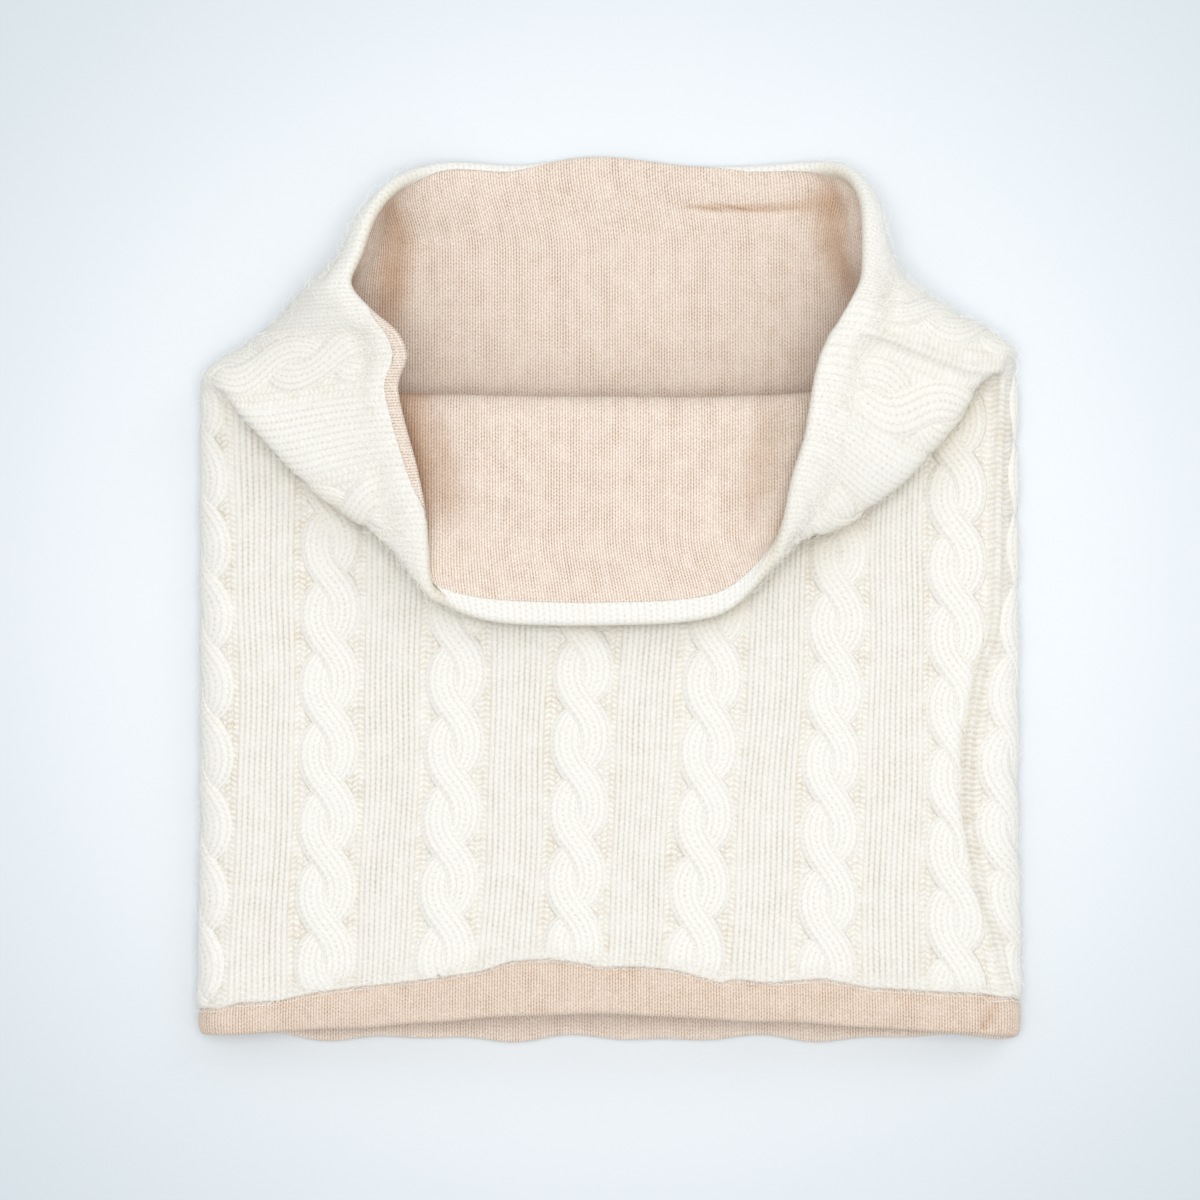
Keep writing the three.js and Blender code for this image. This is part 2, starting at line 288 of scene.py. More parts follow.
places = [row[0] for row in sections]
foldY, foldDepth, hemY, evenBand = (
    loopCurve(places, [row[k] for row in sections], tube["circumference"]) for k in range(1, 5)
)
rimJoin = loopCurve([row[0] for row in rimJoins], [row[1] for row in rimJoins], tube["circumference"])

# The front of the lower edge is uneven: around the tube, how far the band is turned up there
frontBand = [
    (-134, 7), (-125, 10), (-112, 9.8), (-99, 11.9), (-86, 13.2), (-67, 13.6), (-43, 15.3), (-33, 18),
    (-20, 18.3), (-13, 17.1), (-2, 15.1), (9, 15.9), (22, 15.3), (31, 13.2), (37, 11.8), (42, 13.4),
    (51, 12.5), (59, 13.2), (72, 14.9), (88, 12.8), (117, 12.9), (124, 13.4), (131, 10), (137, 9),
]  # fmt: skip


def bandTop(around):
    measured = np.interp(around, *np.array(frontBand, float).T)
    inFront = ease((side - 6 - np.abs(around)) / 10)
    return mix(evenBand(around), measured, inFront)


rimRows = np.array(rim, float)
rimSteps = np.linalg.norm(np.roll(rimRows, -1, axis=0) - rimRows, axis=1)
rimPlaces = np.concatenate([[0], np.cumsum(rimSteps)[:-1]]) / rimSteps.sum() * tube["circumference"]
rimCurves = [loopCurve(rimPlaces, rimRows[:, k], tube["circumference"]) for k in range(3)]


def rimPoint(around):
    return np.stack([curve(around + tube["circumference"] / 2) for curve in rimCurves], -1)


# The flat-folded tube. At each side the crease opens out into a corner flap, which lies across
# the walls with its outside up.
def foldedPoint(around, above):
    hand = np.where(around < 0, -1, 1)
    past = side - np.abs(around)  # from the side crease, positive on the front
    depth = foldDepth(around)
    frontZ = tube["frontHeight"] + tube["frontArch"] * ease(np.abs(past) / side)
    corner = above > np.abs(past)
    flap = ~corner & (past > 0) & (above > 0)
    turn = np.where(corner, past / np.where(corner, above, 1), 0)
    low = mix(tube["cornerLow"], frontZ + tube["flapRise"] + tube["cornerRise"], (turn + 1) / 2)
    cornerZ = mix(low, tube["cornerPuff"], (1 - turn * turn) * np.clip(above / depth, 0, 1))
    inward = np.where(corner, above, np.abs(past))
    up = np.where(corner, -past, np.where(flap, -above, above))
    flatZ = np.where(past > 0, frontZ, tube["backHeight"])
    z = np.where(corner, cornerZ, np.where(flap, frontZ + tube["flapRise"], flatZ))
    return np.stack([hand * (side - inward), foldY(around) + up, z], -1)


# 1 where a side wall stands up beside the mouth and where the front flap's edge turns up into a
# corner flap, 0 away from these
def roundBend(around, above):
    past = side - np.abs(around)
    depth = foldDepth(around)
    sideWall = ease(above / 25) * ease((12 - past) / 30) * ease((depth + 25 + past) / 40)
    besideMouth = ease((past - 35) / 20) * ease((depth + 35 - past) / 20)
    return np.maximum(sideWall, ease((above - 30) / 25) * besideMouth)


def soften(points, share):
    total = np.zeros_like(points)
    for across in (-1, 0, 1):
        turned = np.roll(points, across, axis=0)
        for down in (-1, 0, 1):
            weight = (2 - abs(across)) * (2 - abs(down)) / 16
            total[:, 1:-1] += weight * turned[:, 1 + down : turned.shape[1] - 1 + down]
    softened = points.copy()
    softened[:, 1:-1] = mix(points[:, 1:-1], total[:, 1:-1], share[:, 1:-1, None])
    return softened


# The folded tube softened into cloth, with its rim drawn to the outline that it really takes
def layCloth():
    around = (np.arange(gridColumns) / gridColumns - 0.5) * tube["circumference"]
    around = np.repeat(around[:, None], gridRows + 2 * spareRows + 1, axis=1)
    part = (np.arange(around.shape[1]) - spareRows)[None, :] / gridRows
    depth = foldDepth(around)
    above = mix(hemY(around) - foldY(around), depth, part)
    points = foldedPoint(around, above)
    for _ in range(tube["softenPasses"]):
        points = soften(points, np.ones_like(around))
    bend = roundBend(around, above)
    for _ in range(tube["cornerPasses"]):
        points = soften(points, bend)
    past = np.abs(side - np.abs(around))
    pull = rimPoint(around[:, :1]) - points[:, gridRows + spareRows][:, None]
    start = 0.8 * np.minimum(past, 0.75 * depth)
    points = points + pull * ease((above - start) / (depth - start))[..., None]
    hemPart = 1 - np.clip(part / tube["hemReach"], 0, 1)
    front = np.abs(around) < side
    points[..., 2] += front * tube["hemLift"] * hemPart**2 * ease(past / side)
    points[..., 0] *= 1 + tube["hemFlare"] * hemPart / side
    wave = 0
    for swings, start, share in tube["hemWaves"]:
        wave = wave + share * np.sin(around * 2 * math.pi * swings / tube["circumference"] + start)
    onBack = mix(1, 0.25, ease((side - np.abs(around) + 10) / 20))  # the front's edge is straighter
    points[..., 1] += tube["hemWave"] * wave * onBack * hemPart**4
    for dent in dents:
        away = np.hypot(points[..., 0] - dent["x"], points[..., 1] - dent["y"]) / dent["reach"]
        points[..., 0] += dent["moveX"] * np.exp(-(away**2))
        points[..., 1] += dent["moveY"] * np.exp(-(away**2))
    points[..., 0] += tube["toMiddle"]
    points = points[:, spareRows - 1 : -spareRows + 1]
    points[:, 0] = 2 * points[:, 1] - points[:, 2]
    points[:, -1] = 2 * points[:, -2] - points[:, -3]
    return points


clothGrid = layCloth()


def curveWeights(t):
    return [
        ((2 - t) * t - 1) * t / 2,
        ((3 * t - 5) * t * t + 2) / 2,
        ((4 - 3 * t) * t + 1) * t / 2,
        (t - 1) * t * t / 2,
    ]


# A point between the grid's own
def clothPoint(around, along):
    acrossGrid = (around / tube["circumference"] + 0.5) * gridColumns
    downGrid = along / clothLength * gridRows
    i = np.floor(acrossGrid).astype(int)
    j = np.clip(np.floor(downGrid).astype(int), 0, gridRows - 1)
    acrossWeights = curveWeights(acrossGrid - i)
    downWeights = curveWeights(downGrid - j)
    point = 0
    for a in range(4):
        for b in range(4):
            value = clothGrid[(i + a - 1) % gridColumns, np.clip(j + b, 0, gridRows + 2)]
            point = point + value * (acrossWeights[a] * downWeights[b])[..., None]
    return point


# The sum of all strokes of a table at a place
def strokes(table, around, along):
    total = np.zeros(np.broadcast(around, along).shape)
    lap = tube["circumference"]
    for place, up, heading, length, width, height in table:
        x = np.mod(around - place + lap / 2, lap) - lap / 2
        y = along - up
        turn = math.radians(heading)
        lengthwise = y * math.cos(turn) + x * math.sin(turn)
        sideways = x * math.cos(turn) - y * math.sin(turn)
        total += height * np.exp(-((sideways / width) ** 2) - (lengthwise / length) ** 4)
    return total


# Places on the cloth, raised outwards from the face where the two knits meet
def onCloth(around, along, outwards, floorGap=0.15):
    around, along, outwards = np.broadcast_arrays(around, along, outwards)
    probe = 2.0
    within = np.clip(along, 0, clothLength)
    higher, lower = np.minimum(within + probe, clothLength), np.maximum(within - probe, 0)
    up = clothPoint(around, higher) - clothPoint(around, lower)
    across = clothPoint(around + probe, within) - clothPoint(around - probe, within)
    up /= np.linalg.norm(up, axis=-1, keepdims=True)
    across /= np.linalg.norm(across, axis=-1, keepdims=True)
    normal = np.cross(across, up)
    normal /= np.linalg.norm(normal, axis=-1, keepdims=True)
    outwards = outwards + strokes(wrinkles, around, within)
    point = clothPoint(around, within) + normal * outwards[..., None] + up * (along - within)[..., None]
    point[..., 2] = np.maximum(point[..., 2], floorGap)
    return point


# Where both knits turn over the rim: from the distance over the edge, 0 at its crown, how far
# past the cloth's end a point lies, and how far outwards
def overEdge(distance, outside, inside, turn):
    radius = (outside + inside) / 2
    quarter = radius * math.pi / 2
    angle = np.clip(distance, -quarter, quarter) / radius
    past = turn - radius + radius * np.cos(angle) - np.maximum(np.abs(distance) - quarter, 0)
    return past, (outside - inside) / 2 - radius * np.sin(angle)


# The rows of a hidden layer, as shares of the way down from the rim: close where the cloth bends
def hiddenRows(count):
    return np.interp(np.linspace(0, 1, count), (0, 0.15, 0.3, 0.6, 1), (0, 0.04, 0.2, 0.33, 1))


# How deep in the folds each place lies: the share of the ways out that the cloth itself blocks,
# on the inside (0) and on the outside (1). The wool gets painted shade from it.
folds = {
    "rays": 24,
    "reach": 90,
    "middle": 0.6,  # from where the two knits meet to the middle of the cloth
    "standOff": 2.2,  # from there to where the rays start
    "spread": 0.98,
    "softenPasses": 2,
    "seed": 3,
}


def measureDepths():
    rows = gridRows + 1
    around = (np.arange(gridColumns) / gridColumns - 0.5) * tube["circumference"]
    around = np.repeat(around[:, None], rows, axis=1)
    along = np.repeat((np.arange(rows) / gridRows * clothLength)[None, :], gridColumns, axis=0)
    middle = onCloth(around, along, folds["middle"])
    index = np.arange(gridColumns * rows).reshape(gridColumns, rows)
    turned = np.roll(index, -1, axis=0)
    quads = np.stack([index[:, :-1], turned[:, :-1], turned[:, 1:], index[:, 1:]], -1).reshape(-1, 4)
    tree = BVHTree.FromPolygons(middle.reshape(-1, 3).tolist(), quads.tolist())
    random = np.random.default_rng(folds["seed"])
    spread = random.normal(size=(folds["rays"], 3))
    spread /= np.linalg.norm(spread, axis=-1, keepdims=True)
    depths = []
    for sign in (-1, 1):
        start = onCloth(around, along, folds["middle"] + sign * folds["standOff"])
        normal = onCloth(around, along, folds["middle"] + sign * (folds["standOff"] + 1)) - start
        ways = normal[..., None, :] + spread * folds["spread"]
        blocked = np.zeros(around.shape)
        for i in range(gridColumns):
            for j in range(rows):
                origin = start[i, j].tolist()
                hits = [tree.ray_cast(origin, way, folds["reach"])[0] is not None for way in ways[i, j].tolist()]
                blocked[i, j] = sum(hits) / folds["rays"]
        for _ in range(folds["softenPasses"]):
            blocked = (np.roll(blocked, 1, 0) + 2 * blocked + np.roll(blocked, -1, 0)) / 4
            blocked[:, 1:-1] = (blocked[:, :-2] + 2 * blocked[:, 1:-1] + blocked[:, 2:]) / 4
        depths.append(blocked)
    return depths


clothDepths = measureDepths()


def depthAt(around, along, face):
    depth = clothDepths[face]
    i = (around / tube["circumference"] + 0.5) * gridColumns
    j = np.clip(along / clothLength * gridRows, 0, gridRows - 0.001)
    left, low = np.floor(i).astype(int), np.floor(j).astype(int)
    across, up = i - left, j - low
    first = mix(depth[left % gridColumns, low], depth[left % gridColumns, low + 1], up)
    second = mix(depth[(left + 1) % gridColumns, low], depth[(left + 1) % gridColumns, low + 1], up)
    return mix(first, second, across)


print("stage: cloth laid")


# A piece from points in millimetres. A knit has its own measure, in wales and courses, as its UV
# map, one value for each corner of each face, and values at its points that the wool reads.
def makePiece(name, points, faces, stitches=None, values=None):
    mesh = bpy.data.meshes.new(name)
    mesh.from_pydata((points.reshape(-1, 3) * millimetre).tolist(), [], faces)
    if stitches is not None:
        mesh.uv_layers.new(name="stitches").data.foreach_set("uv", stitches.ravel())
        mesh.polygons.foreach_set("use_smooth", [True] * len(faces))
    for attribute, each in (values or {}).items():
        layer = mesh.attributes.new(attribute, "FLOAT", "POINT")
        layer.data.foreach_set("value", each.ravel().astype(np.float32))
    mesh.update()
    return addObject(name, mesh)


# A knitted wall from rings of points, closed both ways
def makeWall(name, points, stitches, lap, values):
    rows, columns = points.shape[:2]
    index = np.arange(rows * columns).reshape(rows, columns)
    nextRow, nextColumn = np.roll(index, -1, axis=0), np.roll(index, -1, axis=1)
    corner = np.roll(nextRow, -1, axis=1)
    quads = np.stack([index, nextColumn, corner, nextRow], -1).reshape(-1, 4)
    flat = stitches.reshape(-1, 2)[quads.ravel()].reshape(-1, 4, 2).copy()
    behind = flat[:, 0, 0] - flat[:, 1, 0] > lap / 2  # the last column joins the first, one lap on
    flat[behind, 1:3, 0] += lap
    return makePiece(name, points, quads.tolist(), flat, values)


# The two knits. The cream one has panels: each cable with a purl gutter at each side, and a rib
# panel between.
knit = {
    "creamThickness": 2.7,
    "liningThickness": 1.5,
    "turnedCream": 1.9,  # the turned-in cream, on the lining's side
    "turnedLining": 2.2,  # the turned-up lining, on the cream's side
    "rimTurn": 1.6,  # how far a turned edge stands past the cloth's end
    "hemTurn": 1.2,
    "creamWale": 3.74,  # a wale's width and a course's height
    "creamCourse": 1.92,
    "liningWales": 300,  # round the whole tube, 1.87 mm each
    "liningCourse": 1.28,
    "bandSeam": 125.3,  # where the lining's seam crosses the turned-up band
    "cableHalf": 9.0,
    "ribWales": 5,  # wales in a rib panel, 4 in a narrow one
    "narrowPanel": 41,  # from cable to cable
    "smallestPanel": 33,  # below this there is no rib
    "ribValley": 0.4,  # how deep the knit lies between two wales, and in a gutter
    "gutterDepth": 0.9,
    "plainEdge": 9,  # the last rows before the rim are plain
    "wander": 0.45,  # how far the wales stray from straight
    "flapStart": 215,  # how far along the cloth the flaps begin
    # painted shade added on the flaps
    "flapShade": 0.22,
    "flapHair": 0.7,  # how far brushed-up hair hides the stitches, from 0 to 1
    "rimHair": 0.85,
    "hemHair": 0.5,
    "flatRows": 138,  # rows of points: on the wall, over the rim's edge and on the hidden face
    "edgeRows": 16,
    "hiddenRows": 46,
}

# The cable beside the right crease bends with the seam: how far along, and where it lies
strayCable = [
    (0, 145.5), (24, 142), (49, 137), (71, 134), (92, 135), (120, 139.5), (150, 145), (215, 147), (300, 147),
]  # fmt: skip

# Each cable's middle at the lower edge, half way up and at the fold, or its own table of places,
# and how far along one of its crossings is
cables = [
    ((-141.5, -138, -141), 105),
    ((-96, -95.3, -93), 106.1),
    ((-56.5, -52.3, -49), 105.4),
    ((-13.4, -9.4, -6), 105.9),
    ((26.8, 34.5, 40), 103.9),
    ((72, 76, 79), 101.6),
    ((116, 117.5, 117), 97.4),
    (strayCable, 104.1),
]
# The cables of the back run straight
cables += [
    ((place,) * 3, crossing)
    for place, crossing in ((183.6, 100), (223.1, 103), (262.7, 98), (302.3, 104), (341.8, 101), (381.4, 106))
]

# The seam down the right side, over the edge of the cable before it. Its shape across: share of
# the way to the next cable and relief. Its course: how far along, and where it lies.
seamCable = 6
seamWales = 5  # from that cable to the next
seamSides = (-1.2, 3.4)  # how far its own two sides lie from its course
seamShape = [
    (0, -1.3), (0.2, -1.3), (0.4, -1.1), (0.44, -0.9), (0.455, -0.2), (0.47, 0.5), (0.49, 0.95),
    (0.51, 1.0), (0.53, 0.8), (0.55, 0.3), (0.575, -0.4), (0.6, -0.8), (0.7, -1.0), (0.8, -1.2), (0.9, -1.3),
]  # fmt: skip
sideSeam = [
    (0, 137), (10, 135), (30, 129.6), (44, 125.6), (53, 123.2), (70, 120.2), (84, 119.4), (100, 120),
    (110, 122.6), (121, 124.4), (128, 127), (134, 129.8), (170, 130.2), (215, 130.4), (300, 132),
]  # fmt: skip


def smoothTable(table, along):
    near = [np.interp(along + step, *np.array(table, float).T) for step in (-6, -3, 0, 3, 6)]
    return sum(near) / len(near)


def seamPlace(along):
    return smoothTable(sideSeam, along)


def cableMiddle(cable, along):
    lap = (cable // len(cables)) * tube["circumference"]
    places = cables[cable % len(cables)][0]
    if places is strayCable:
        return smoothTable(places, along) + lap
    low, middle, high = places
    t = np.clip(along / knit["flapStart"], 0, 1)
    return low * (1 - t) * (1 - 2 * t) + 4 * middle * t * (1 - t) + high * t * (2 * t - 1) + lap


# Columns from one cable to the next, each as (cable, share of the way, purl, wales, relief). The
# ribs take whole wales, and so do the cables between them.
def panelColumns():
    columns, wales = [], 0
    depth, valley = knit["gutterDepth"], knit["ribValley"]
    for cable in range(len(cables)):
        width = cableMiddle(cable + 1, 100.0) - cableMiddle(cable, 100.0)
        if cable == seamCable:
            for share, relief in seamShape:
                columns.append((cable, share, 1, wales + seamWales * share, relief))
            wales += seamWales
            continue
        first = knit["cableHalf"]
        last = width - knit["cableHalf"]
        ribWales = knit["ribWales"] - (width < knit["narrowPanel"])
        if width < knit["smallestPanel"]:
            ribWales = 0
        rib = ribWales * knit["creamWale"]
        start = max((first + last - rib) / 2, first + 0.4)
        end = min(start + rib, last - 0.4)
        before, after = round(start / knit["creamWale"]), round((width - end) / knit["creamWale"])
        if not ribWales:
            start = end = width / 2
            before = after = round(width / 2 / knit["creamWale"])
        underCable = -depth - 0.3
        sides = [(t * first, underCable) for t in (0, 0.45, 0.85)]
        sides += [(mix(first, start, t), -depth * (1 - t * t * 0.5)) for t in (0.05, 0.4, 0.8)]
        columns += [(cable, at / width, 1, wales + before * at / start, relief) for at, relief in sides]
        wales += before
        for leg in range(4 * ribWales + (ribWales > 0)):
            share = leg / (4 * ribWales)
            border = leg in (0, 4 * ribWales)
            relief = -depth * 0.6 if border else (-valley if leg % 2 == 0 else 0.0)
            columns.append((cable, mix(start, end, share) / width, 0.5 * border, wales + share * ribWales, relief))
        wales += ribWales
        sides = [(mix(end, last, t), -depth * (1 - (1 - t) ** 2 * 0.5)) for t in (0.2, 0.6, 0.95)]
        sides += [(width - t * (width - last), underCable) for t in (0.85, 0.45)]
        columns += [
            (cable, at / width, 1, wales + after * (at - end) / (width - end), relief) for at, relief in sides
        ]
        wales += after
    return np.array(columns), wales


def makeOuterKnit():
    columns, lap = panelColumns()
    cable, share, purlHere, wales, relief = columns.T
    cable = cable.astype(int)

    def aroundAt(along):
        first = np.stack([cableMiddle(c, along[..., k]) for k, c in enumerate(cable)], -1)
        last = np.stack([cableMiddle(c + 1, along[..., k]) for k, c in enumerate(cable)], -1)
        place = mix(first, last, share)
        left, right = (seamPlace(along) + away for away in seamSides)
        beside = np.where(share < 0.4, mix(first, left, share / 0.4), mix(right, last, (share - 0.6) / 0.4))
        beside = np.where(np.abs(share - 0.5) <= 0.1, mix(left, right, (share - 0.4) / 0.2), beside)
        place = np.where(cable == seamCable, beside, place)
        wander = np.sin(along / 21 + place / 33) + 0.6 * np.sin(along / 9.5 - place / 15)
        return place + knit["wander"] * wander * np.sin(math.pi * share)

    rows, edgeRows = knit["flatRows"], knit["edgeRows"]
    band = bandTop(aroundAt(np.full((1, len(share)), 13.0))[0])
    join = rimJoin(aroundAt(np.full((1, len(share)), clothLength))[0])
    thick, inside, turn = knit["creamThickness"], knit["turnedCream"], knit["rimTurn"]
    quarter = (thick + inside) / 2 * math.pi / 2

    # up the wall from the band, over the rim's edge, and down again between the knits
    edgeStart = np.minimum(-quarter, join - 3)
    flatEnd = clothLength + overEdge(edgeStart, thick, inside, turn)[0]
    flat = mix(band + 0.6, flatEnd, np.linspace(0, 1, rows)[:, None])
    plain = ease((clothLength - knit["plainEdge"] - flat + 3) / 5)
    hemPress = ease((flat - band) / 2.5)
    flatHigh = thick + relief * plain * mix(0.3, 1, hemPress) + 0.25 * (1 - hemPress)
    over = mix(edgeStart, join, np.linspace(0, 1, edgeRows + 1)[1:, None])
    overPast, overHigh = overEdge(over, thick, inside, turn)
    hiddenFrom = np.minimum(clothLength + overPast[-1], clothLength - 1)
    steps = np.concatenate([hiddenRows(knit["hiddenRows"]), [1.006, 1.012, 1.018]])  # close at the hem
    hidden = mix(hiddenFrom, band + 6, steps[:, None])
    hidden = np.concatenate([hidden, [band + 0.4]])
    hiddenHigh = 0.4 + 1.0 * ease((band + 5 - hidden) / 3)
    hiddenHigh[0] = 0.3 * np.sign(-join)
    lowEdge = np.stack([band - 0.1, band - 0.4])
    lowHigh = np.stack([np.full_like(band, 1.5), np.full_like(band, 2.1)])

    along = np.concatenate([flat, clothLength + overPast, hidden, lowEdge])
    outwards = np.concatenate([flatHigh, overHigh, hiddenHigh, lowHigh])
    where = aroundAt(np.clip(along, 0, clothLength))
    knitLength = along.copy()  # the knit's own length, which runs on over the rim
    edge = slice(rows, rows + edgeRows)
    knitLength[edge] = flatEnd + (over - edgeStart)
    stitches = np.stack([np.broadcast_to(wales, along.shape), knitLength / knit["creamCourse"]], -1)
    purl = purlHere * np.ones_like(along)
    purl[:rows] *= plain
    purl[rows:] = 0
    points = onCloth(where, along, outwards)

    # what the wool reads: the purl side, how hairy it is, and its painted shade: how deep it lies in the folds, and
    # more on the flaps
    hairy = np.maximum(knit["rimHair"] * (1 - plain), knit["hemHair"] * (1 - ease((flat - band) / 5)))
    hairy = np.maximum(hairy, knit["flapHair"] * ease((flat - knit["flapStart"] + 10) / 25))
    hairy = np.concatenate([hairy, np.full_like(along[rows:], knit["rimHair"])])
    paintedShade = depthAt(where, along, 1)
    turned = ease((over + quarter) / (2 * quarter))
    paintedShade[edge] = mix(paintedShade[edge], depthAt(where, along, 0)[edge], turned)
    paintedShade += knit["flapShade"] * ease((along - knit["flapStart"]) / 20)
    values = {"purl": purl, "hairy": hairy, "paintedShade": paintedShade}
    return makeWall("outerCableTube", points, stitches, lap, values)


outerKnit = makeOuterKnit()
print("stage: outer knit made", len(outerKnit.data.polygons))

# The cables: two strands of three wales, side by side in each lobe, that swap sides at each crossing
braid = {
    "pitch": 24.0,
    "swing": 5.1,  # how far each strand moves to either side
    "squareness": 0.08,  # how much of the way runs straight up
    "strandWidth": 12.5,
    "waist": 0.03,  # how much narrower a strand is at a crossing
    "outerShoulder": 4.3,  # how square a strand's outer edge is
    "innerShoulder": 11,  # and its edge against the other strand
    "edge": 1.0,  # where its sides end, under the ground
    "base": 3.35,  # a strand's top above the face where the knits meet
    "lift": 0.27,  # over and under at a crossing
    "legRelief": 0.05,
    "seamDrop": 2.0,  # how far a strand dives at the seam
    "hemDrop": 1.3,
    "flapDrop": 0.45,  # flatter where the flaps stretch
    "endDrop": 3.6,
    "endFade": 11,
    # painted shade: a fixed amount on the cables, and more on the flaps
    "shade": 0.2,
    "flapShade": 0.15,
    "hair": (0.8, 0.9),  # on the wall and at the rim
    "rings": 27,
    "walesInStrand": 3,
    "underside": 4,  # points across a strand's underside
}


def makeCables():
    # one strand, from the crossing below to the one above; s runs along it and top across it
    s = np.linspace(-1, 1, braid["rings"])[:, None]
    legs = 2 * braid["walesInStrand"]
    top = np.linspace(-1, 1, 2 * legs + 1)
    below = np.linspace(0.85, -0.85, braid["underside"])
    across = np.concatenate([top, below])
    ridges = -braid["legRelief"] * (np.arange(2 * legs + 1) % 2 == 0)
    onTop = np.concatenate([np.ones_like(top), np.zeros_like(below)])
    walesAcross = np.concatenate([(top + 1) / 2, (below + 1) / 2]) * braid["walesInStrand"]
    sides = len(across)
    taper = np.clip(1 - np.abs(s) ** 8, 0.05, 1)
    phase = math.pi * s + braid["squareness"] * np.sin(2 * math.pi * s)
    inner = np.clip(-np.sign(top) * np.sin(phase), 0, 1)
    rounded = 1 - np.abs(top) ** mix(braid["outerShoulder"], braid["innerShoulder"], inner)
    crest = braid["base"] + braid["lift"] * np.cos(phase)
    swing = braid["swing"] * np.sin(phase)
    wide = braid["strandWidth"] / 2 * (1 - braid["waist"] * np.abs(np.cos(phase)) ** 2) * across * taper
    topHigh = mix(braid["edge"], crest, rounded * taper) + ridges
    strandHigh = np.concatenate([topHigh, np.full((len(s), len(below)), braid["edge"])], axis=1)
    end = clothLength - knit["plainEdge"] + 3  # they die away into the plain rows
    allPoints, allFaces, allStitches, allPaintedShades, allHairs = [], [], [], [], []
    count = 0
    for number, (_, crossing) in enumerate(cables):
        first = math.floor(-crossing / braid["pitch"])
        last = math.ceil((end - crossing) / braid["pitch"])
        for n in range(first, last + 1):
            along = crossing + (n - s) * braid["pitch"]
            slope = np.gradient(swing[:, 0], along[:, 0])[:, None]
            length = np.hypot(1, slope)
            high = strandHigh
            acrossCloth = swing + wide / length
            alongCloth = along - wide * slope / length
            around = cableMiddle(number, np.clip(alongCloth, 0, clothLength)) + acrossCloth
            if number == seamCable:
                seam = seamPlace(alongCloth)
                high = high - braid["seamDrop"] * ease((around - seam + 2.2) / 3)
                around = np.minimum(around, seam - 0.1)
            low = bandTop(around) - 0.1
            if (alongCloth < low).all() or (alongCloth > end).all():
                continue
            high = high - braid["hemDrop"] * ease((low + 5 - alongCloth) / 6) * onTop
            high = high - braid["flapDrop"] * ease((alongCloth - knit["flapStart"] + 10) / 30) * onTop
            alongCloth = np.maximum(alongCloth, low)
            high = high - braid["endDrop"] * ease((alongCloth - (end - braid["endFade"])) / braid["endFade"])
            points = onCloth(around, np.minimum(alongCloth, end), np.maximum(high, 0.4))
            index = count + np.arange(braid["rings"] * sides).reshape(braid["rings"], sides)
            turned = np.roll(index, -1, axis=1)
            quads = np.stack([index[:-1], index[1:], turned[1:], turned[:-1]], -1).reshape(-1, 4)
            stitch = np.stack(np.broadcast_arrays(walesAcross, alongCloth / knit["creamCourse"]), -1)
            allPoints.append(points.reshape(-1, 3))
            allStitches.append(stitch.reshape(-1, 2))
            onFlap = ease((alongCloth - knit["flapStart"]) / 20)
            # painted shade: the folds' depth, with the cables' fixed painted shade and more on the flaps
            paintedShade = depthAt(around, alongCloth, 1) + braid["shade"] + braid["flapShade"] * onFlap
            allPaintedShades.append(paintedShade.ravel())
            allHairs.append(mix(*braid["hair"], ease((alongCloth - end + 30) / 30)).ravel())
            allFaces += quads.tolist()
            allFaces += [index[0].tolist(), index[-1][::-1].tolist()]
            count += braid["rings"] * sides
    corners = np.concatenate([np.array(face) for face in allFaces])
    stitches = np.concatenate(allStitches)[corners]
    values = {"paintedShade": np.concatenate(allPaintedShades), "hairy": np.concatenate(allHairs)}
    return makePiece("cables", np.concatenate(allPoints), allFaces, stitches, values)


cableBraids = makeCables()
print("stage: cables made", len(cableBraids.data.polygons))


# The lining's rows of points: over the rim's edge, down the wall, round the hem, up the band and
# up the hidden face
liningRows = {"edge": 12, "wall": 171, "hem": 9, "band": 16, "hidden": 40}


